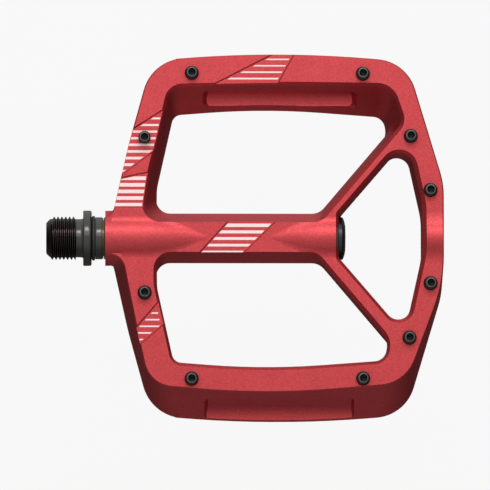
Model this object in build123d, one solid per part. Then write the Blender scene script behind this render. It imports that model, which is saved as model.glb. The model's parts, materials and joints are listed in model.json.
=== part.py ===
from build123d import *
import os
from math import acos, atan, atan2, cos, hypot, pi, sin, sqrt, tan

# Flat platform pedal for the right-hand crank of a bicycle, in millimetres.
# The spindle lies along X. The origin is on its axis, at the face of the collar that seats
# against the crank; +X points away from the crank, +Y forward and +Z up.
# The platform is the same on both faces: half a turn about the spindle maps it onto itself.
# Its bars and arms lean, so every side wall is ruled between an outline near the top face and
# one near the bottom face.

# ---- driving dimensions -------------------------------------------------------------------
HALF_THICK = 7.3          # platform faces, above and below the spindle axis
EDGE_BREAK = 0.4          # small chamfer round the outside
WINDOW_CHAMFER = 1.2      # large chamfer round the windows
BOSS_START = 7.28         # inboard end of the hub
HUB_END = 84.3            # outboard end of the hub
PLATFORM_END = 119.0      # outboard side of the platform

BOSS_R = 9.1              # hub radius round the inboard bush
BEARING_HUB_R = 9.0       # hub radius round the outboard bearings
WAIST_R = 7.2             # hub radius between them, just under the faces
HUB_SIDE_Y = 8.23         # widest point of the hub, at mid height

THREAD_R = 14.288 / 2     # 9/16 in - 20 UNF right-hand thread
COLLAR_R = 18.3 / 2
JOURNAL_R = 12.0 / 2
BEARING_BORE_R = 6.0 / 2
BEARING_OUTER_R = 13.0 / 2
BEARING_WIDTH = 5.0
BEARING_START = 69.2
RUNNING_GAP = 0.05        # radial clearance of a part that turns on the spindle

PIN_R = 4.0 / 2           # M4 traction pins
PIN_HEIGHT = 4.0          # how far a pin stands out of the face
PIN_DEPTH = 4.0           # how far it is screwed in
PIN_PLACES = [            # top face; the bottom face has the same, half a turn round
    (35.8, 54.3), (92.3, 54.1), (20.2, 32.8), (108.1, 33.5), (114.6, 15.6),
    (20.3, -18.4), (114.6, -15.2), (107.6, -33.2), (92.3, -46.7), (35.8, -46.8),
]

# ---- outlines -----------------------------------------------------------------------------
# Corners run anticlockwise as (x, y, corner radius).
TOP_OUTLINE = [
    (12.1, -3.0, 1.0), (17.7, -30.5, 120), (21.7, -48.9, 10), (60.0, -52.3, 270),
    (106.5, -48.3, 13), (119.0, -15.1, 50), (119.0, 17.8, 28), (106.8, 58.2, 14),
    (62.5, 61.8, 380), (22.6, 58.3, 14.3), (14.9, 30.5, 120), (8.7, 3.0, 1.0),
]


def turned_over(corners):
    """The same outline after half a turn about X, still anticlockwise."""
    return [(x, -y, r) for x, y, r in reversed(corners)]


def moved_out(corners, distances):
    """Moves each side of an outline outwards; side i runs from corner i to the next."""
    count = len(corners)
    sides = []
    for i, (x, y, _) in enumerate(corners):
        nx, ny, _ = corners[(i + 1) % count]
        run = hypot(nx - x, ny - y)
        ux, uy = (nx - x) / run, (ny - y) / run
        sides.append((x + uy * distances[i], y - ux * distances[i], ux, uy))
    moved = []
    for i in range(count):
        ax, ay, aux, auy = sides[i - 1]
        bx, by, bux, buy = sides[i]
        cross = aux * buy - auy * bux
        along = ((bx - ax) * buy - (by - ay) * bux) / cross
        radius = corners[i][2] + (distances[i] + distances[i - 1]) / 2 * (1 if cross > 0 else -1)
        moved.append((ax + along * aux, ay + along * auy, radius))
    return moved


def evenly(corners, distance):
    return moved_out(corners, [distance] * len(corners))


def outline(corners, z):
    """A closed wire of straight sides and round corners at one height."""
    count = len(corners)
    arcs = []
    for i, (x, y, r) in enumerate(corners):
        px, py, _ = corners[i - 1]
        nx, ny, _ = corners[(i + 1) % count]
        back, ahead = Vector(px - x, py - y).normalized(), Vector(nx - x, ny - y).normalized()
        half = acos(max(-1, min(1, back.dot(ahead)))) / 2
        reach = r / tan(half)
        corner = Vector(x, y, z)
        towards = (back + ahead).normalized()
        middle = corner + towards * (r / sin(half) - r)
        arcs.append((corner + back * reach, middle, corner + ahead * reach))
    edges = []
    for i, (start, middle, end) in enumerate(arcs):
        edges.append(Edge.make_three_point_arc(start, middle, end))
        edges.append(Edge.make_line(end, arcs[(i + 1) % count][0]))
    return Wire(edges)


def ruled(sections):
    """A solid with straight walls between outlines given as (corners, z)."""
    return Solid.make_loft([outline(corners, z) for corners, z in sections], ruled=True)


def turned(profile):
    """A solid of revolution about the spindle axis from (x, radius) points."""
    points = [(x, r) for x, r in profile]
    return revolve(make_face(Polyline(*points, close=True)), Axis.X)


def sleeve(x0, x1, r_in, r_out):
    return turned([(x0, r_in), (x1, r_in), (x1, r_out), (x0, r_out)])


def both_faces(shape):
    return [shape, Rot(180, 0, 0) * shape]


# ---- windows ------------------------------------------------------------------------------
REACH = 14.0                       # the cutters run this far above and below the axis
CUT_Z = HALF_THICK - WINDOW_CHAMFER


def main_window():
    """The forward window, between arm, bar, strut and hub."""
    top = [
        (19.7, 5.46, 5.3), (77.6, 5.46, 5.0), (105.6, 38.3, 5.0), (101.6, 50.0, 6.5),
        (62.0, 50.5, 800), (28.7, 49.6, 5.0), (21.9, 20.8, 12),
    ]
    middle = [
        (24.1, HUB_SIDE_Y, 4.6), (77.98, HUB_SIDE_Y, 5.3), (103.2, 37.87, 5.2), (100.7, 45.1, 4.6),
        (61.0, 47.8, 320), (29.3, 45.8, 4.0), (24.2, 18.2, 14),
    ]
    bottom = [
        (24.3, 5.46, 5.0), (76.2, 5.46, 5.0), (100.6, 34.1, 6.2), (99.4, 40.7, 4.1),
        (60.0, 43.6, 250), (29.9, 41.3, 3.3), (24.4, 16.8, 15),
    ]
    flare = [0.53, WINDOW_CHAMFER, 1.0, 1.05, 1.05, 0.95, 1.2]
    open_top, open_bottom = moved_out(top, flare), moved_out(bottom, flare)
    return ruled([
        (open_bottom, -REACH), (open_bottom, -HALF_THICK), (bottom, -CUT_Z), (middle, 0),
        (top, CUT_Z), (open_top, HALF_THICK), (open_top, REACH),
    ])


def outboard_window():
    """The three-cornered window between the two struts and the outboard arm."""
    middle = [
        (HUB_END, -6.3, 0.6), (106.2, -31.7, 4.1), (111.8, -6.6, 26),
        (111.8, 6.6, 26), (106.2, 31.7, 4.1), (HUB_END, 6.3, 0.6),
    ]
    top = moved_out(middle, [0.25, 0.1, 0.1, 1.1, 0.8, 0.0])
    open_top = moved_out(top, [1.05, 1.2, 1.4, 1.3, 1.1, 0.95])
    bottom, open_bottom = turned_over(top), turned_over(open_top)
    return ruled([
        (open_bottom, -REACH), (open_bottom, -HALF_THICK), (bottom, -CUT_Z), (middle, 0),
        (top, CUT_Z), (open_top, HALF_THICK), (open_top, REACH),
    ])


# ---- platform -----------------------------------------------------------------------------
BOSS_END, WAIST_START, WAIST_END, SWELL_FULL = 21.0, 41.0, 62.0, 80.0


def ridge_section(x, radius, blend):
    """Upper half of a cylinder that stands out of the faces, with hollow blends into them."""
    rise = HALF_THICK + blend
    foot = sqrt((radius + blend) ** 2 - rise ** 2)
    touch_y, touch_z = foot * radius / (radius + blend), rise * radius / (radius + blend)
    lean = atan2(foot, rise) / 2
    mid_y, mid_z = foot - blend * sin(lean), rise - blend * cos(lean)
    return Wire([
        Edge.make_line((x, -foot, 0), (x, foot, 0)),
        Edge.make_line((x, foot, 0), (x, foot, HALF_THICK)),
        Edge.make_three_point_arc((x, foot, HALF_THICK), (x, mid_y, mid_z), (x, touch_y, touch_z)),
        Edge.make_three_point_arc((x, touch_y, touch_z), (x, 0, radius), (x, -touch_y, touch_z)),
        Edge.make_three_point_arc((x, -touch_y, touch_z), (x, -mid_y, mid_z), (x, -foot, HALF_THICK)),
        Edge.make_line((x, -foot, HALF_THICK), (x, -foot, 0)),
    ])


def ridge(x0, x1, radius, blend):
    """Where an arm passes the spindle axis its faces swell over a cylinder."""
    return extrude(Face(ridge_section(x0, radius, blend)), x1 - x0, dir=(1, 0, 0))


def fading_ridge(x_full, x_end, radius, blend):
    """A ridge whose radius eases down until it sinks into the faces."""
    steps, low = 6, HALF_THICK + 0.03
    sections = []
    for i in range(steps + 1):
        share = i / steps
        ease = share * share * (3 - 2 * share)
        x = x_full + (x_end - x_full) * share
        sections.append(ridge_section(x, radius + (low - radius) * ease, blend))
    return Solid.make_loft(sections)


def ridges():
    """The swellings over the boss, over the outboard bearings and over the outboard arm."""
    upright = ruled([(TOP_OUTLINE, -REACH), (TOP_OUTLINE, REACH)])
    inboard_r = BOSS_R + 0.05
    upper = [
        ridge(8, BOSS_END, inboard_r, 4) & upright,
        fading_ridge(BOSS_END, WAIST_START, inboard_r, 4),
        fading_ridge(SWELL_FULL, WAIST_END, BEARING_HUB_R + 0.05, 5),
        ridge(SWELL_FULL, HUB_END, BEARING_HUB_R + 0.05, 5),
        ridge(104, PLATFORM_END - EDGE_BREAK, BEARING_HUB_R, 12),
    ]
    return [shape for part in upper for shape in both_faces(part)]


def hub():
    """A turned bar whose two thick ends run smoothly into a thinner middle."""
    level = (1, 0, 0)
    corners = [
        (HUB_END, BEARING_HUB_R), (HUB_END, 0), (BOSS_START, 0), (BOSS_START, BOSS_R),
        (BOSS_END, BOSS_R),
    ]
    edges = [
        Edge.make_spline([(BOSS_END, BOSS_R), (WAIST_START, WAIST_R)], tangents=[level, level]),
        Edge.make_line((WAIST_START, WAIST_R), (WAIST_END, WAIST_R)),
        Edge.make_spline([(WAIST_END, WAIST_R), (SWELL_FULL, BEARING_HUB_R)], tangents=[level, level]),
        Edge.make_line((SWELL_FULL, BEARING_HUB_R), corners[0]),
    ]
    edges += [Edge.make_line(start, end) for start, end in zip(corners, corners[1:])]
    return revolve(Face(Wire(edges)), Axis.X)


SHOULDER_Z = HALF_THICK - EDGE_BREAK
ROOT_HEIGHTS = [-HALF_THICK, -SHOULDER_Z, -5.2, -2.8, 0, 2.8, 5.2, SHOULDER_Z, HALF_THICK]


def arm_wall_x(y, z):
    """Where the forward arm's leaning outer wall or its small chamfer lies, near the boss."""
    share = max(0, min(1, (z / SHOULDER_Z + 1) / 2))
    inset = max(0, abs(z) - SHOULDER_Z)
    places = []
    for near, far in ((TOP_OUTLINE[0], TOP_OUTLINE[1]), (TOP_OUTLINE[-1], TOP_OUTLINE[-2])):
        slope = (far[0] - near[0]) / (abs(far[1]) - abs(near[1]))
        places.append(near[0] + slope * (y - abs(near[1])))
    return places[0] * (1 - share) + places[1] * share + inset


def arm_root():
    """Fills the corner between the boss and the arm's outer wall with a hollow rounding.

    The rounding is smallest at mid height and widens towards both faces."""
    sections = []
    for z in ROOT_HEIGHTS:
        hollow = 2.3 + 3.2 * abs(z) / SHOULDER_Z
        y = sqrt(BOSS_R ** 2 - z ** 2) - 0.02
        y_far = y + 1.1 * hollow
        x, x_far = arm_wall_x(y, z) + 0.05, arm_wall_x(y_far, z) + 0.05
        sections.append(([
            (BOSS_START - 5, y - 1, 0.1), (x + 2, y - 1, 0.1), (x + 2.5, y_far, 0.1),
            (x_far, y_far, 0.1), (x, y, hollow), (BOSS_START - 5, y, 0.1),
        ], z))
    outboard_side = Pos(BOSS_START + 10.1, 0, 0) * Box(20, 40, 40)
    return both_faces(ruled(sections) & outboard_side)


SEAL_NOSE, SEAL_START, SEAL_END, SEAL_R = 6.85, 7.5, 9.6, 7.8
BUSH_END, BUSH_R = 21.5, 7.0
CAP_SEAT = BEARING_START + 2 * BEARING_WIDTH
CAP_SLEEVE_R, CAP_RING_R = 7.0, 7.45


def hub_bore():
    """Seats for the seal, the bush, the two bearings and the end cap, in one stepped bore."""
    return turned([
        (BOSS_START - 1, 0), (BOSS_START - 1, SEAL_R), (SEAL_END, SEAL_R), (SEAL_END, BUSH_R),
        (BUSH_END + 0.3, BUSH_R), (BUSH_END + 0.3, 5.5), (BEARING_START, 5.5),
        (BEARING_START, BEARING_OUTER_R), (CAP_SEAT, BEARING_OUTER_R), (CAP_SEAT, CAP_SLEEVE_R),
        (HUB_END - 1, CAP_SLEEVE_R), (HUB_END - 1, CAP_RING_R), (HUB_END + 1, CAP_RING_R),
        (HUB_END + 1, 0),
    ])


POCKET_ENDS = (39.7, 90.2)
POCKET_DEPTH, POCKET_HIGH = 3.0, 3.6


def bar_pocket(wall_y, lean, low):
    """A long pocket in a leaning bar wall: level floor, wide hollow back and rounded ends."""
    proud, hollow_radius, roof_radius, end_radius, draft = 3.0, 5.2, 0.8, 2.4, 0.6
    floor_y, roof_y = wall_y + lean * low, wall_y + lean * POCKET_HIGH
    (start, end), middle_z = POCKET_ENDS, (POCKET_HIGH + low) / 2
    section = Polyline(
        (start - 4, floor_y - proud, low), (start - 4, floor_y + POCKET_DEPTH, low),
        (start - 4, roof_y + POCKET_DEPTH, POCKET_HIGH), (start - 4, roof_y - proud, POCKET_HIGH),
        close=True,
    )
    block = extrude(make_face(section), end - start + 8, dir=(1, 0, 0))
    floor_edges = block.edges().filter_by(Axis.X).sort_by(Axis.Z)[:2]
    block = fillet(floor_edges.sort_by(Axis.Y)[-1], hollow_radius)
    block = fillet(block.edges().filter_by(Axis.X).sort_by(Axis.Y)[-1], roof_radius)
    tilt = atan(lean)
    mouth = Plane(
        origin=((start + end) / 2, wall_y + lean * middle_z, middle_z),
        x_dir=(1, 0, 0), z_dir=(0, cos(tilt), -sin(tilt)),
    )
    rims = []
    for depth in (-3, 5):
        rim = Rectangle(end - start - 2 * draft * depth, (POCKET_HIGH - low) / cos(tilt))
        rims.append(mouth.offset(depth) * fillet(rim.vertices(), end_radius))
    return block & loft(rims)


INNER_POCKET_LOW, OUTER_POCKET_LOW = -3.6, -6.0


def pockets():
    """Two pockets in each bar: one in its inner wall and one in its outer wall."""
    inner = bar_pocket(46.8, 0.689, INNER_POCKET_LOW)
    outer = bar_pocket(-56.0, 0.652, OUTER_POCKET_LOW)
    return both_faces(inner) + both_faces(outer)


def pin_holes():
    holes = []
    for x, y in PIN_PLACES:
        hole = Cylinder(PIN_R, PIN_DEPTH + 6, align=(Align.CENTER, Align.CENTER, Align.MIN))
        mouth = Cone(PIN_R, PIN_R + 0.35, 0.35, align=(Align.CENTER, Align.CENTER, Align.MAX))
        holes.append(Pos(x, y, HALF_THICK - PIN_DEPTH) * hole)
        holes.append(Pos(x, y, HALF_THICK) * mouth)
    return [turn for hole in holes for turn in both_faces(hole)]


# Shallow panels in the top face, each between two slanting steps given as (x0, y0, x1, y1);
# they run out over the edges of the bar or arm they lie on.
PANELS = [
    ((44.7, 51.2, 61.5, 59.8), (64.5, 51.8, 68.9, 59.75)),
    ((13.07, 21.0, 23.4, 28.7), (17.2, 36.0, 26.7, 42.1)),
    ((10.5, 10.0, 20.1, 10.0), (13.07, 19.45, 21.3, 21.2)),
    ((19.0, -35.1, 26.2, -28.9), (17.7, -29.95, 24.4, -22.2)),
    ((38.9, -4.9, 47.9, 5.0), (53.0, -4.9, 63.0, 5.0)),
]
PANEL_DEPTH, PANEL_BEVEL, PANEL_OVERRUN = 0.42, 0.45, 3.0


def stretched(step):
    """Both ends of a step, moved further out along it."""
    x0, y0, x1, y1 = step
    length = hypot(x1 - x0, y1 - y0)
    dx, dy = (x1 - x0) / length * PANEL_OVERRUN, (y1 - y0) / length * PANEL_OVERRUN
    return (x0 - dx, y0 - dy, 0.1), (x1 + dx, y1 + dy, 0.1)


def panels():
    cuts = []
    for first, second in PANELS:
        a, b = stretched(first)
        d, c = stretched(second)
        floor = [a, b, c, d]
        if (b[0] - a[0]) * (c[1] - b[1]) < (b[1] - a[1]) * (c[0] - b[0]):
            floor = [d, c, b, a]
        rim = moved_out(floor, [PANEL_BEVEL, 0, PANEL_BEVEL, 0])
        block = ruled([(floor, HALF_THICK - PANEL_DEPTH), (rim, HALF_THICK), (rim, HALF_THICK + 1)])
        cuts += both_faces(block)
    return cuts


def platform_body():
    """One forging: two leaning bars, arms, hub and the forked outboard struts."""
    rest = evenly(TOP_OUTLINE, -EDGE_BREAK)
    plate = ruled([
        (turned_over(rest), -HALF_THICK), (turned_over(TOP_OUTLINE), -SHOULDER_Z),
        (TOP_OUTLINE, SHOULDER_Z), (rest, HALF_THICK),
    ])
    solid = Part() + [plate, hub()] + arm_root() + ridges()
    window = main_window()
    solid = solid - both_faces(window) - outboard_window()
    solid = solid - hub_bore() - pockets()
    solid = solid - pin_holes() - panels()
    return solid


# ---- spindle ------------------------------------------------------------------------------
THREAD_TIP, THREAD_START, THREAD_END = -12.2, -10.4, -2.35
RING_X, RING_R = 3.4, 0.58
SHOULDER_START, SHOULDER_END, SHOULDER_R = 4.0, 6.3, 6.95
NUT_START, SPINDLE_END = 79.8, 83.8


def spindle():
    body = turned([
        (THREAD_TIP, 0), (THREAD_TIP, 5.0), (-11.8, 5.5), (-11.3, 6.0), (-10.7, 6.45),
        (THREAD_START, THREAD_R), (THREAD_END, THREAD_R), (THREAD_END, 6.4), (-0.4, 6.4),
        (0, 6.7), (0, COLLAR_R - 0.3), (0.3, COLLAR_R), (2.3, COLLAR_R), (2.8, COLLAR_R - 0.5),
        (2.8, 6.2), (SHOULDER_START, 6.2), (SHOULDER_START, SHOULDER_R - 0.2),
        (SHOULDER_START + 0.2, SHOULDER_R), (SHOULDER_END - 0.2, SHOULDER_R),
        (SHOULDER_END, SHOULDER_R - 0.2), (SHOULDER_END, JOURNAL_R), (20.8, JOURNAL_R),
        (21.7, 5.1), (30, 4.9), (60, 4.2), (BEARING_START, 4.2),
        (BEARING_START, BEARING_BORE_R), (SPINDLE_END - 0.4, BEARING_BORE_R),
        (SPINDLE_END, BEARING_BORE_R - 0.4), (SPINDLE_END, 0),
    ])
    socket = extrude(Plane.YZ * RegularPolygon(4.0 / cos(pi / 6), 6), 8)
    return body - Pos(THREAD_TIP, 0, 0) * socket


# ---- inboard end --------------------------------------------------------------------------
def inboard_dust_ring():
    """A round-section rubber ring in the groove between the collar and the shoulder."""
    section = Pos(RING_X, 6.25 + RING_R) * Circle(RING_R)
    return revolve(section, Axis.X)


def thrust_washer():
    """A thin brass washer on the journal, against the shoulder."""
    return sleeve(SHOULDER_END, 6.7, JOURNAL_R, 6.72)


def inboard_lip_seal():
    """Rubber seal pressed into the hub; its nose reaches out almost to the washer."""
    lip = JOURNAL_R + RUNNING_GAP
    return turned([
        (SEAL_NOSE, 6.35), (SEAL_NOSE, 6.8), (SEAL_START, 7.05), (SEAL_START, SEAL_R),
        (SEAL_END, SEAL_R), (SEAL_END, 6.6), (9.2, 6.3), (8.8, lip), (8.4, lip), (8.2, 6.35),
    ])


def glide_bush():
    return sleeve(SEAL_END, BUSH_END, JOURNAL_R + RUNNING_GAP, BUSH_R)


# ---- outboard bearings --------------------------------------------------------------------
BALL_R, BALL_GROOVE_R, BALL_PITCH_R, BALL_COUNT = 0.95, 1.02, 4.75, 8
INNER_RACE_R, OUTER_RACE_R = 4.2, 5.35
SHIELD_WIDTH = 0.4


def groove(x_mid):
    return revolve(Pos(x_mid, BALL_PITCH_R) * Circle(BALL_GROOVE_R), Axis.X)


def bearing(start):
    """The pieces of one 6 x 13 x 5 deep-groove ball bearing that begins at x = start."""
    end, x_mid = start + BEARING_WIDTH, start + BEARING_WIDTH / 2
    inner_race = sleeve(start, end, BEARING_BORE_R, INNER_RACE_R) - groove(x_mid)
    outer_race = sleeve(start, end, OUTER_RACE_R, BEARING_OUTER_R) - groove(x_mid)
    cage = sleeve(x_mid - 1.35, x_mid + 1.35, 4.5, 5.0)
    balls = []
    for i in range(BALL_COUNT):
        turn = Rot(360 * i / BALL_COUNT, 0, 0)
        balls.append(turn * Pos(x_mid, 0, BALL_PITCH_R) * Sphere(BALL_R))
        cage -= turn * Pos(x_mid, 0, BALL_PITCH_R) * Cylinder(BALL_R + 0.05, 2)
    shields = [
        sleeve(x, x + SHIELD_WIDTH, INNER_RACE_R + 0.1, OUTER_RACE_R)
        for x in (start, end - SHIELD_WIDTH)
    ]
    return {
        "inner_race": inner_race, "outer_race": outer_race, "ball_cage": cage,
        "balls": Compound(children=balls), "shields": Compound(children=shields),
    }


# ---- outboard end -------------------------------------------------------------------------
def bearing_washer():
    return sleeve(CAP_SEAT, NUT_START, BEARING_BORE_R, INNER_RACE_R)


NUT_BODY = 2.7


def hexagon(across_flats, x0, x1):
    return extrude(Plane.YZ.offset(x0) * RegularPolygon(across_flats / 2 / cos(pi / 6), 6), x1 - x0)


def lock_nut():
    """M6 nut with a raised skirt that holds the locking ring."""
    body = hexagon(10, NUT_START, NUT_START + NUT_BODY)
    body &= turned([
        (NUT_START, 0), (NUT_START, 5.2), (NUT_START + 0.4, 5.8), (NUT_START + 2.3, 5.8),
        (NUT_START + NUT_BODY, 5.2), (NUT_START + NUT_BODY, 0),
    ])
    skirt = sleeve(NUT_START + NUT_BODY, SPINDLE_END - 0.3, BEARING_BORE_R, 4.6)
    room = sleeve(NUT_START + NUT_BODY, SPINDLE_END - 0.3, 0, 4.1)
    bore = Pos(NUT_START, 0, 0) * Rot(0, 90, 0) * Cylinder(BEARING_BORE_R, 20)
    return body + skirt - room - bore


def lock_nut_ring():
    return sleeve(NUT_START + NUT_BODY, SPINDLE_END - 0.4, BEARING_BORE_R, 4.1)


CAP_FACE = 86.6


def end_cap():
    """Screw-in cap: a sleeve that clamps the bearings and a low dome with a hex socket."""
    body = turned([
        (CAP_SEAT, 6.1), (CAP_SEAT, CAP_SLEEVE_R), (HUB_END - 1, CAP_SLEEVE_R),
        (HUB_END - 1, 6.8), (HUB_END, 6.8), (HUB_END, 7.3), (85.2, 7.3), (85.2, 7.0),
        (85.45, 7.0), (85.6, 7.15), (86.0, 6.6), (86.35, 5.6), (CAP_FACE, 4.4),
        (CAP_FACE, 0), (84.7, 0), (84.7, 6.1),
    ])
    return body - hexagon(6, CAP_FACE - 1.1, CAP_FACE + 1)


def end_cap_o_ring():
    section = Pos(HUB_END - 0.5, 7.12) * Rectangle(0.9, 0.56)
    return revolve(fillet(section.vertices(), 0.2), Axis.X)


# ---- traction pins ------------------------------------------------------------------------
def traction_pin():
    """A set screw that stands on its inner end, with a hex socket in the free end."""
    length = PIN_DEPTH + PIN_HEIGHT
    body = Cylinder(PIN_R, length, align=(Align.CENTER, Align.CENTER, Align.MIN))
    tip = body.edges().filter_by(GeomType.CIRCLE).sort_by(Axis.Z)[-1]
    body = chamfer(tip, 0.5)
    socket = extrude(RegularPolygon(1.0 / cos(pi / 6), 6), 2.2)
    return body - Pos(0, 0, length - 2.2) * socket


def pins():
    pin = Pos(0, 0, HALF_THICK - PIN_DEPTH) * traction_pin()
    placed = {}
    for i, (x, y) in enumerate(PIN_PLACES, 1):
        placed[f"pin_top_{i:02d}"], placed[f"pin_bottom_{i:02d}"] = both_faces(Pos(x, y, 0) * pin)
    return placed


# ---- assembly -----------------------------------------------------------------------------
nodes = {
    "platform_body": platform_body(),
    "spindle": spindle(),
    "inboard_dust_ring": inboard_dust_ring(),
    "thrust_washer": thrust_washer(),
    "inboard_lip_seal": inboard_lip_seal(),
    "glide_bush": glide_bush(),
    "bearing_washer": bearing_washer(),
    "lock_nut": lock_nut(),
    "lock_nut_ring": lock_nut_ring(),
    "end_cap": end_cap(),
    "end_cap_o_ring": end_cap_o_ring(),
}
for label, start in (("inner", BEARING_START), ("outer", BEARING_START + BEARING_WIDTH)):
    for piece, shape in bearing(start).items():
        nodes[f"{label}_bearing_{piece}"] = shape
nodes.update(pins())

os.makedirs("parts", exist_ok=True)
for name, shape in nodes.items():
    export_step(shape, f"parts/{name}.step")
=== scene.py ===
import json
from math import cos, pi, sin, tan

import bmesh
import bpy
from mathutils import Matrix, Vector


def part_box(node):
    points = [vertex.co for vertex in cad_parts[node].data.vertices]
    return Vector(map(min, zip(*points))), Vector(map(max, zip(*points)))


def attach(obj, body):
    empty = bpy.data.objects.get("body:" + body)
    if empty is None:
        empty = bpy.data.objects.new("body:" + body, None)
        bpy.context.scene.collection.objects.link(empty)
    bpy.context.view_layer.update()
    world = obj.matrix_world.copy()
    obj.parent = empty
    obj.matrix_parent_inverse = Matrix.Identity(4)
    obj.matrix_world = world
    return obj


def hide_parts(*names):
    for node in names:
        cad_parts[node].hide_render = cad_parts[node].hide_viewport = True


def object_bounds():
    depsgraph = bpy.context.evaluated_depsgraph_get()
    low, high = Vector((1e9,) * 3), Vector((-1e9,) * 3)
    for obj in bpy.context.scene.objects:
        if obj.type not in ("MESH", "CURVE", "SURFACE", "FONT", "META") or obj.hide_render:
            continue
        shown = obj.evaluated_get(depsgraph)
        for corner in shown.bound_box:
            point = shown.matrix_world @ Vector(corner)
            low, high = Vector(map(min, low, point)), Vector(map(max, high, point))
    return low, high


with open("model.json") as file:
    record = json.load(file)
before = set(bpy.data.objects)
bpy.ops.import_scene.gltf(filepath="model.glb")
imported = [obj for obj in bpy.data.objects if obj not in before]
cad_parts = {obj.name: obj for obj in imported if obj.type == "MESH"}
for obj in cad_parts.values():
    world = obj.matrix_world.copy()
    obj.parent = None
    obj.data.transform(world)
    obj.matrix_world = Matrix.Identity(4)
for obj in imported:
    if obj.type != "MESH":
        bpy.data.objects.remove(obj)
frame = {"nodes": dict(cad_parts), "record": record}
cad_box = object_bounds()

# A red flat pedal seen from above, in metres. Sizes below are millimetres times MM.
MM = 0.001
nodes = frame["nodes"]
FACE_Z = 7.3 * MM               # the platform's two faces lie this far from the spindle axis

pin_low, pin_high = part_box("pin_top_01")
PIN_LENGTH = pin_high.z - pin_low.z
PIN_R, PIN_PITCH, PIN_ROOT = 2.0 * MM, 0.7 * MM, 1.57 * MM
PIN_SHANK = 2.5 * MM            # the thread starts this far from the pin's inner end
PIN_BEVEL = 0.12 * MM           # height of the edge break at the free end
PIN_SOCKET, PIN_SOCKET_DEPTH = 2.2 * MM, 2.2 * MM

OIL_END, GLOSS_START = -2.6 * MM, -2.2 * MM     # X where the oily thread meets the glossy collar
SHARP_ANGLE = 35 * pi / 180     # edges of turned pieces sharper than this stay crisp


# ---- node helpers -------------------------------------------------------------------------
class Look:
    """A new material with its principled shader, and short ways to add nodes to it."""

    def __init__(self, name):
        self.material = bpy.data.materials.new(name)
        self.material.use_nodes = True
        self.tree = self.material.node_tree
        self.shader = self.tree.nodes["Principled BSDF"]
        self.place = self.add("ShaderNodeTexCoord").outputs["Object"]

    def add(self, kind, **settings):
        node = self.tree.nodes.new(kind)
        for key, value in settings.items():
            setattr(node, key, value)
        return node

    def link(self, source, target):
        self.tree.links.new(source, target)

    def set(self, **values):
        for key, value in values.items():
            self.shader.inputs[key.replace("_", " ")].default_value = value

    def noise(self, grain, detail=2.0, rough=0.5, stretch=(1, 1, 1)):
        """Noise with features about `grain` metres across, optionally stretched."""
        mapping = self.add("ShaderNodeMapping")
        mapping.inputs["Scale"].default_value = stretch
        texture = self.add("ShaderNodeTexNoise")
        texture.inputs["Scale"].default_value = 1 / grain
        texture.inputs["Detail"].default_value = detail
        texture.inputs["Roughness"].default_value = rough
        self.link(self.place, mapping.inputs["Vector"])
        self.link(mapping.outputs["Vector"], texture.inputs["Vector"])
        return texture.outputs["Fac"]

    def ramp(self, source, *stops):
        ramp = self.add("ShaderNodeValToRGB")
        elements = ramp.color_ramp.elements
        while len(elements) < len(stops):
            elements.new(0.5)
        for element, (position, colour) in zip(elements, stops):
            element.position = position
            element.color = (*colour, 1)
        self.link(source, ramp.inputs["Fac"])
        return ramp.outputs["Color"]

    def span(self, source, low, high, start=0.3, end=0.7):
        """Maps the middle of a noise to a range of numbers."""
        node = self.add("ShaderNodeMapRange")
        node.inputs["From Min"].default_value = start
        node.inputs["From Max"].default_value = end
        node.inputs["To Min"].default_value = low
        node.inputs["To Max"].default_value = high
        self.link(source, node.inputs["Value"])
        return node.outputs["Result"]

    def mix(self, factor, first, second, blend="MIX"):
        """Blends two colours; sockets 0, 6 and 7 are the factor and the two colours."""
        node = self.add("ShaderNodeMix", data_type="RGBA", blend_type=blend)
        for value, socket in ((factor, node.inputs[0]), (first, node.inputs[6]), (second, node.inputs[7])):
            if isinstance(value, bpy.types.NodeSocket):
                self.link(value, socket)
            else:
                socket.default_value = value if socket.type == "VALUE" else (*value, 1)
        return node.outputs[2]

    def bump(self, height, distance, strength):
        node = self.add("ShaderNodeBump")
        node.inputs["Strength"].default_value = strength
        node.inputs["Distance"].default_value = distance
        self.link(height, node.inputs["Height"])
        return node.outputs["Normal"]

    def colour(self, output):
        self.link(output, self.shader.inputs["Base Color"])

    def roughness(self, output):
        self.link(output, self.shader.inputs["Roughness"])

    def normal(self, output):
        self.link(output, self.shader.inputs["Normal"])


# ---- materials ----------------------------------------------------------------------------
def red_anodised():
    """Bead-blasted aluminium under a satin red anodic layer."""
    look = Look("red_anodised")
    blast = look.noise(0.42 * MM, detail=3, rough=0.65)
    cloud = look.noise(9 * MM, detail=3)
    grain = look.ramp(blast, (0.3, (0.40, 0.029, 0.035)), (0.7, (0.57, 0.056, 0.063)))
    tone = look.ramp(cloud, (0.3, (0.92, 0.92, 0.92)), (0.7, (1, 1, 1)))
    look.colour(look.mix(1.0, grain, tone, "MULTIPLY"))
    look.roughness(look.span(look.noise(0.6 * MM, detail=3), 0.42, 0.54))
    look.normal(look.bump(blast, 0.022 * MM, 0.8))
    look.set(Metallic=0.95, Specular_Tint=(1, 0.5, 0.52, 1), Coat_Weight=0.42, Coat_Roughness=0.4)
    return look.material


def printed_white():
    """Slightly warm white print with the blasted grain showing through."""
    look = Look("printed_white")
    blast = look.noise(0.28 * MM, detail=3, rough=0.6)
    look.colour(look.ramp(blast, (0.25, (0.86, 0.64, 0.62)), (0.7, (0.98, 0.80, 0.78))))
    look.roughness(look.span(blast, 0.5, 0.62))
    look.normal(look.bump(blast, 0.008 * MM, 0.6))
    return look.material


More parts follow.
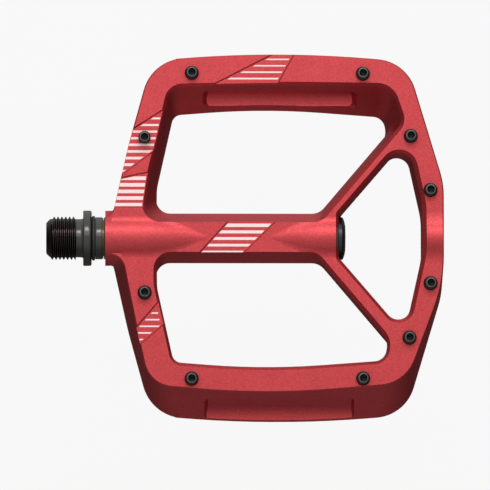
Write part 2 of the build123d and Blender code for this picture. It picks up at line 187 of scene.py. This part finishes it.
def black_steel():
    """Black-oxide steel: paler round the collar, darker with oil on the crank thread."""
    look = Look("black_steel")
    fine = look.noise(0.35 * MM, detail=3)
    rings = look.noise(0.25 * MM, detail=2, stretch=(1, 0.02, 0.02))
    glossy = look.ramp(fine, (0.3, (0.058, 0.057, 0.056)), (0.7, (0.074, 0.072, 0.071)))
    oily = look.ramp(fine, (0.3, (0.024, 0.019, 0.019)), (0.7, (0.042, 0.033, 0.032)))
    along = look.add("ShaderNodeSeparateXYZ")
    look.link(look.place, along.inputs[0])
    smooth = look.span(along.outputs[0], 0, 1, OIL_END, GLOSS_START)
    look.colour(look.mix(smooth, oily, glossy))
    look.roughness(look.span(rings, 0.15, 0.22))
    look.normal(look.bump(rings, 0.003 * MM, 0.4))
    look.set(Metallic=1.0)
    return look.material


def pin_steel():
    """Oiled black set-screw steel, paler on the flat of its free end, with painted shade filling the hex
    socket.
    """
    look = Look("pin_steel")
    fine = look.noise(0.2 * MM, detail=3)
    black = look.ramp(fine, (0.3, (0.016, 0.016, 0.016)), (0.75, (0.045, 0.047, 0.045)))
    pale_end_colour = look.ramp(fine, (0.3, (0.09, 0.10, 0.09)), (0.75, (0.17, 0.185, 0.17)))
    height = look.add("ShaderNodeSeparateXYZ")
    look.link(look.place, height.inputs[0])
    end = look.span(height.outputs[2], 0, 1, PIN_LENGTH - 0.25 * MM, PIN_LENGTH - PIN_BEVEL)
    steel = look.mix(end, black, pale_end_colour)
    distance = look.add("ShaderNodeVectorMath", operation="LENGTH")
    flat = look.add("ShaderNodeVectorMath", operation="MULTIPLY")
    flat.inputs[1].default_value = (1, 1, 0)
    look.link(look.place, flat.inputs[0])
    look.link(flat.outputs["Vector"], distance.inputs[0])
    # Painted shade: the hex socket is coloured near black; the pale end starts just outside the hexagon's
    # corners.
    beyond_painted_socket_shade = look.span(distance.outputs["Value"], 0, 1, 1.27 * MM, 1.33 * MM)
    look.colour(look.mix(beyond_painted_socket_shade, (0.002, 0.002, 0.002), steel))
    look.roughness(look.span(fine, 0.28, 0.42))
    look.normal(look.bump(fine, 0.006 * MM, 0.5))
    look.set(Metallic=0.75)
    return look.material


def plain_metal(name, low, high, roughness):
    """Bare machined metal between two colours."""
    look = Look(name)
    fine = look.noise(0.3 * MM, detail=3)
    look.colour(look.ramp(fine, (0.3, low), (0.7, high)))
    look.roughness(look.span(fine, roughness - 0.05, roughness + 0.07))
    look.normal(look.bump(fine, 0.004 * MM, 0.5))
    look.set(Metallic=1.0)
    return look.material


def rubber(name, low, high):
    """Matt rubber or polymer between two colours."""
    look = Look(name)
    fine = look.noise(0.15 * MM, detail=4)
    look.colour(look.ramp(fine, (0.3, low), (0.7, high)))
    look.roughness(look.span(fine, 0.55, 0.75))
    look.normal(look.bump(fine, 0.01 * MM, 0.5))
    return look.material


def black_anodised():
    """Aluminium under a satin black anodic layer."""
    look = Look("black_anodised")
    fine = look.noise(0.25 * MM, detail=3)
    look.colour(look.ramp(fine, (0.3, (0.012, 0.012, 0.013)), (0.7, (0.035, 0.035, 0.037))))
    look.roughness(look.span(fine, 0.28, 0.4))
    look.normal(look.bump(fine, 0.006 * MM, 0.6))
    look.set(Metallic=0.8, Coat_Weight=0.2, Coat_Roughness=0.25)
    return look.material


looks = {
    "red_anodised": red_anodised(),
    "black_steel": black_steel(),
    "black_rubber": rubber("black_rubber", (0.010, 0.010, 0.010), (0.030, 0.030, 0.030)),
    "dark_polymer": rubber("dark_polymer", (0.035, 0.035, 0.04), (0.07, 0.07, 0.075)),
    "plain_steel": plain_metal("plain_steel", (0.42, 0.42, 0.43), (0.6, 0.6, 0.62), 0.32),
    "brass": plain_metal("brass", (0.07, 0.044, 0.018), (0.13, 0.085, 0.034), 0.3),
    "bearing_steel": plain_metal("bearing_steel", (0.55, 0.55, 0.56), (0.7, 0.7, 0.72), 0.14),
    "locking_polymer": rubber("locking_polymer", (0.03, 0.1, 0.36), (0.05, 0.16, 0.5)),
    "black_anodised": black_anodised(),
}
PRINTED = printed_white()
PIN_STEEL = pin_steel()
for entry in frame["record"]["subparts"]:
    part = nodes[entry["node"]]
    part.data.materials.clear()
    part.data.materials.append(looks[entry["material_slot"]])


# ---- mesh helpers -------------------------------------------------------------------------
def add_piece(name, mesh, material, body):
    """Adds a visible piece that rides on a body of the frame."""
    piece = bpy.data.objects.new(name, mesh)
    bpy.context.scene.collection.objects.link(piece)
    mesh.materials.append(material)
    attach(piece, body)
    return piece


def lathe(name, profile_at, count, place):
    """A mesh from one (along, radius) profile for each of `count` directions round an axis.

    profile_at(turn) gives the profile for a fraction of a turn; `place` puts a point given as
    along, radius and angle in space. Profiles may follow a helix, so the last column repeats
    the first one a turn later and the doubles are merged."""
    grid = bmesh.new()
    columns = []
    for i in range(count + 1):
        turn = i / count
        columns.append([grid.verts.new(place(a, r, 2 * pi * turn)) for a, r in profile_at(turn)])
    for left, right in zip(columns, columns[1:]):
        for k in range(len(left) - 1):
            grid.faces.new((left[k], left[k + 1], right[k + 1], right[k]))
    bmesh.ops.remove_doubles(grid, verts=grid.verts, dist=1e-7)
    bmesh.ops.dissolve_degenerate(grid, edges=grid.edges, dist=1e-7)
    bmesh.ops.recalc_face_normals(grid, faces=grid.faces)
    mesh = bpy.data.meshes.new(name)
    grid.to_mesh(mesh)
    grid.free()
    mesh.shade_smooth()
    mesh.set_sharp_from_angle(angle=SHARP_ANGLE)
    return mesh


def level(points, a):
    """Straight-line interpolation in a rising list of (along, radius)."""
    for (a0, r0), (a1, r1) in zip(points, points[1:]):
        if a <= a1:
            return r0 + (r1 - r0) * (a - a0) / (a1 - a0)
    return points[-1][1]


def helix(start, end, pitch, root, envelope):
    """Profile of a 60-degree external thread between two places, under an envelope radius."""
    crest, valley = pitch / 8, pitch / 6
    flank = (pitch - crest - valley) / 2
    depth = flank / tan(pi / 6)
    offsets = ((0, depth), (crest, depth), (crest + flank, 0), (crest + flank + valley, 0))
    turns = int((end - start) / pitch) + 3

    def profile(turn):
        points = []
        for k in range(-2, turns):
            for offset, height in offsets:
                along = start + (k + turn) * pitch + offset
                held = min(max(along, start), end)
                radius = min(root + height, level(envelope, held)) if held == along else root
                points.append((held, min(radius, level(envelope, held))))
        return points

    return profile


def hexagon_radius(across_flats, turn):
    """Distance from the middle of a hexagon to its edge, at a fraction of a turn."""
    return across_flats / 2 / cos(((turn * 6) % 1 - 0.5) * pi / 3)


# ---- spindle ------------------------------------------------------------------------------
TIP, THREAD_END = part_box("spindle")[0].x, -2.35 * MM
THREAD_R, THREAD_PITCH = 7.144 * MM, 1.27 * MM
THREAD_ROOT = THREAD_R - 0.78 * MM


def along_x(a, r, angle):
    return (a, r * cos(angle), r * sin(angle))


def spindle_with_threads():
    """The whole spindle, turned in one piece, with its true right-hand crank thread."""
    lead = [
        (TIP, 5.0 * MM), (-11.8 * MM, 5.5 * MM), (-11.3 * MM, 6.0 * MM), (-10.7 * MM, 6.45 * MM),
        (-10.4 * MM, THREAD_R), (0, THREAD_R),
    ]
    thread = helix(TIP, THREAD_END, THREAD_PITCH, THREAD_ROOT, lead)
    shaft = [
        (-2.35, 6.36), (-2.2, 6.3), (-0.9, 6.34), (-0.3, 6.4), (0, 6.6), (0, 8.87), (0.1, 9.07),
        (0.3, 9.15), (2.3, 9.15), (2.65, 8.95), (2.8, 8.65), (2.8, 6.2), (4.0, 6.2), (4.0, 6.78),
        (4.06, 6.9), (4.2, 6.95), (6.1, 6.95), (6.24, 6.9), (6.3, 6.78), (6.3, 6.0), (20.8, 6.0),
        (21.7, 5.1), (30, 4.9), (60, 4.2), (69.2, 4.2), (69.2, 3.0), (83.4, 3.0), (83.8, 2.6),
        (83.8, 0),
    ]
    socket_floor = TIP + 8 * MM

    def profile(turn):
        hexagon = hexagon_radius(8 * MM, turn)
        mouth = max(hexagon, 4.65 * MM)
        inside = [
            (socket_floor, 0), (socket_floor, hexagon), (TIP + 0.5 * MM, hexagon), (TIP, mouth),
        ]
        return inside + thread(turn) + [(a * MM, r * MM) for a, r in shaft]

    mesh = lathe("spindle_with_threads", profile, 96, along_x)
    piece = add_piece("spindle_with_threads", mesh, looks["black_steel"], "spindle")
    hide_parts("spindle")


# ---- traction pins ------------------------------------------------------------------------
def pin_mesh():
    """An M4 set screw standing on its inner end at the origin, its free end up."""
    top = PIN_LENGTH
    socket_floor = top - PIN_SOCKET_DEPTH
    envelope = [(0, PIN_R), (top - 0.5 * MM, PIN_R), (top, 1.5 * MM)]
    thread = helix(PIN_SHANK, top - PIN_BEVEL, PIN_PITCH, PIN_ROOT, envelope)

    def profile(turn):
        hexagon = hexagon_radius(PIN_SOCKET, turn)
        shank = [(0, 0), (0, PIN_ROOT), (PIN_SHANK, PIN_ROOT)]
        free_end = [(top - PIN_BEVEL, 1.55 * MM), (top, 1.42 * MM), (top, 1.2 * MM)]
        socket = [(top - 0.15 * MM, hexagon), (socket_floor, hexagon), (socket_floor - 0.4 * MM, 0)]
        return shank + thread(turn) + free_end + socket

    mesh = lathe("pin_thread", profile, 48, lambda a, r, t: (r * cos(t), r * sin(t), a))
    mesh.materials.append(PIN_STEEL)
    return mesh


def traction_pins():
    """A screw in place of each CAD pin, all from one mesh; the lower ones point down."""
    shared = pin_mesh()
    for name in sorted(n for n in nodes if n.startswith("pin_")):
        low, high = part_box(name)
        middle = (low + high) / 2
        inner_end, turn = (high.z, pi) if "bottom" in name else (low.z, 0)
        place = Matrix.Translation((middle.x, middle.y, inner_end))
        piece = bpy.data.objects.new(name + "_screw", shared)
        bpy.context.scene.collection.objects.link(piece)
        piece.matrix_world = place @ Matrix.Rotation(turn, 4, "X")
        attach(piece, "platform")
        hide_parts(name)


# ---- printed stripes ----------------------------------------------------------------------
PRINT_THICK = 0.03 * MM
PANEL_Z = FACE_Z - 0.42 * MM    # the striped panels are sunk into the faces
STRIPE_LENGTH = 120             # longer than any panel, in millimetres


def clipped(polygon, panel):
    """The part of a polygon inside a convex anticlockwise panel."""
    for (x0, y0), (x1, y1) in zip(panel, panel[1:] + panel[:1]):
        kept = []
        side = [(x1 - x0) * (y - y0) - (y1 - y0) * (x - x0) for x, y in polygon]
        for i, point in enumerate(polygon):
            j = (i + 1) % len(polygon)
            if side[i] >= 0:
                kept.append(point)
            if side[i] * side[j] < 0:
                t = side[i] / (side[i] - side[j])
                kept.append(tuple(p + t * (q - p) for p, q in zip(point, polygon[j])))
        polygon = kept
        if not polygon:
            break
    return polygon


def stripes(panel, first_y, pitch, heights):
    """Bands along X inside a panel, from first_y downwards, in millimetres."""
    bands = []
    for i, height in enumerate(heights):
        low = first_y - i * pitch - height / 2
        high = low + height
        band = clipped([(0, low), (STRIPE_LENGTH, low), (STRIPE_LENGTH, high), (0, high)], panel)
        if len(band) > 2:
            bands.append(band)
    return bands


STRIPE_PITCH = 2.19
PANELS = {
    "hub": stripes([(39.1, -5.03), (52.5, -5.03), (62.35, 4.7), (47.9, 4.7)], 3.88, STRIPE_PITCH,
                   [1.12, 1.0, 0.93, 0.87, 0.7]),
    "upper_arm": stripes([(12.9, 21.25), (22.95, 28.75), (25.9, 41.3), (16.55, 35.3), (15.05, 30.5)],
                         39.2, STRIPE_PITCH, [0.62, 0.68, 0.72, 0.76, 0.8, 0.84, 0.88, 0.9, 0.9]),
    "root_arm": stripes([(10.42, 10.15), (19.35, 10.15), (20.9, 20.85), (12.45, 19.05)],
                        19.4, STRIPE_PITCH, [1.18] * 5),
    "front_bar": stripes([(45.2, 51.0), (63.6, 51.1), (68.6, 60.1), (62.95, 60.1)], 58.85, 2.13,
                         [0.44, 0.46, 0.5, 0.55]),
    "rear_arm": stripes([(18.75, -34.7), (25.5, -29.15), (24.35, -23.1), (18.0, -30.3)], -25.15,
                        STRIPE_PITCH, [0.5] * 5),
}


def printed_stripes():
    """Thin printed bands on both faces; the lower face has the same, half a turn round."""
    for panel, bands in PANELS.items():
        sheet = bmesh.new()
        for band in bands:
            top = [sheet.verts.new((x * MM, y * MM, PANEL_Z + PRINT_THICK)) for x, y in band]
            low = [sheet.verts.new((x * MM, y * MM, PANEL_Z - PRINT_THICK)) for x, y in band]
            sheet.faces.new(top)
            sheet.faces.new(list(reversed(low)))
            for i in range(len(top)):
                j = (i + 1) % len(top)
                sheet.faces.new((low[i], low[j], top[j], top[i]))
        mesh = bpy.data.meshes.new(f"stripes_{panel}")
        sheet.to_mesh(mesh)
        sheet.free()
        for side, turn in (("top", 0), ("bottom", pi)):
            copy = mesh.copy()
            copy.transform(Matrix.Rotation(turn, 4, "X"))
            add_piece(f"stripes_{panel}_{side}", copy, PRINTED, "platform")


# ---- stage, lights and camera -------------------------------------------------------------
centre = (cad_box[0] + cad_box[1]) / 2
FLOOR_HALF = 6.0
FLOOR_DROP = 0.12               # the floor lies this far below the pedal


def pale_floor():
    """A wide, evenly bright floor that casts no light or reflection on the pedal."""
    z = cad_box[0].z - FLOOR_DROP
    corners = [(x * FLOOR_HALF, y * FLOOR_HALF, z) for x, y in ((-1, -1), (1, -1), (1, 1), (-1, 1))]
    mesh = bpy.data.meshes.new("floor")
    mesh.from_pydata(corners, [], [(0, 1, 2, 3)])
    floor_piece = bpy.data.objects.new("floor", mesh)
    bpy.context.scene.collection.objects.link(floor_piece)
    look = Look("pale_floor")
    patches = look.noise(0.05, detail=2)
    look.colour(look.ramp(patches, (0.3, (0.040, 0.040, 0.040)), (0.7, (0.042, 0.042, 0.042))))
    look.set(Roughness=0.9, Emission_Color=(1, 1, 1, 1), Emission_Strength=0.885)
    mesh.materials.append(look.material)
    floor_piece.visible_glossy = False
    floor_piece.visible_diffuse = False
    floor_piece.visible_shadow = False


def aim(thing, place, target):
    """Puts a camera or lamp at a place, facing the target, with +Y up in its view."""
    back = (Vector(place) - Vector(target)).normalized()
    side = Vector((0, 1, 0)).cross(back).normalized()
    facing = Matrix((side, back.cross(side), back)).transposed().to_4x4()
    thing.matrix_world = Matrix.Translation(place) @ facing
    bpy.context.scene.collection.objects.link(thing)


def softbox(name, place, size, power):
    """A rectangular lamp aimed at the middle of the pedal."""
    lamp = bpy.data.lights.new(name, "AREA")
    lamp.shape = "RECTANGLE"
    lamp.size, lamp.size_y = size
    lamp.energy = power
    aim(bpy.data.objects.new(name, lamp), place, centre)


# Brightness of the room from the right, left, front (+Y), rear, above and below.
ROOM = (0.06, 0.12, 1.40, 0.31, 0.97, 0.05)


def room_light():
    """A world whose brightness in a direction blends those of the sides it faces.

    Each side's share is the square of the direction's part towards it, so the shares add to one."""
    world = bpy.data.worlds.new("room")
    world.use_nodes = True
    tree = world.node_tree
    direction = tree.nodes.new("ShaderNodeTexCoord").outputs["Generated"]
    parts = tree.nodes.new("ShaderNodeSeparateXYZ")
    tree.links.new(direction, parts.inputs[0])
    total = None
    for i, brightness in enumerate(ROOM):
        facing = tree.nodes.new("ShaderNodeMath")
        facing.operation = "MAXIMUM" if i % 2 == 0 else "MINIMUM"
        facing.inputs[1].default_value = 0
        tree.links.new(parts.outputs[i // 2], facing.inputs[0])
        share = tree.nodes.new("ShaderNodeMath")
        share.operation = "MULTIPLY"
        tree.links.new(facing.outputs[0], share.inputs[0])
        tree.links.new(facing.outputs[0], share.inputs[1])
        scaled = tree.nodes.new("ShaderNodeMath")
        scaled.operation = "MULTIPLY_ADD"
        scaled.inputs[1].default_value = brightness
        scaled.inputs[2].default_value = 0
        tree.links.new(share.outputs[0], scaled.inputs[0])
        if total is not None:
            tree.links.new(total, scaled.inputs[2])
        total = scaled.outputs[0]
    tree.nodes["Background"].inputs["Color"].default_value = (1, 1, 1, 1)
    tree.links.new(total, tree.nodes["Background"].inputs["Strength"])
    bpy.context.scene.world = world


def studio():
    """Soft light from the room and two lamps, the stronger one in front."""
    room_light()
    softbox("key", (0.05, 1.0, 1.35), (0.9, 0.4), 6.8)
    softbox("overhead", (0.05, 0.32, 0.8), (0.7, 0.4), 1.0)


CAMERA_DISTANCE = 2.45
CAMERA_LEAN = (-1.1 * pi / 180, -4.0 * pi / 180)    # off the vertical, towards X and Y
VIEW_WIDTH = 0.162037           # what the square picture spans at the target


def overhead_camera():
    """A long lens nearly straight above the platform."""
    lens = bpy.data.cameras.new("camera")
    lens.sensor_width = 36
    lens.lens = lens.sensor_width * CAMERA_DISTANCE / VIEW_WIDTH
    lens.clip_start, lens.clip_end = 0.01, 50
    camera = bpy.data.objects.new("camera", lens)
    target = Vector((53.5 * MM, -2.16 * MM, 0))
    back = Vector((tan(CAMERA_LEAN[0]), tan(CAMERA_LEAN[1]), 1)).normalized()
    aim(camera, target + back * CAMERA_DISTANCE, target)
    bpy.context.scene.camera = camera


spindle_with_threads()
traction_pins()
printed_stripes()
pale_floor()
studio()
overhead_camera()
bpy.context.scene.view_settings.view_transform = "Standard"

bpy.context.view_layer.update()
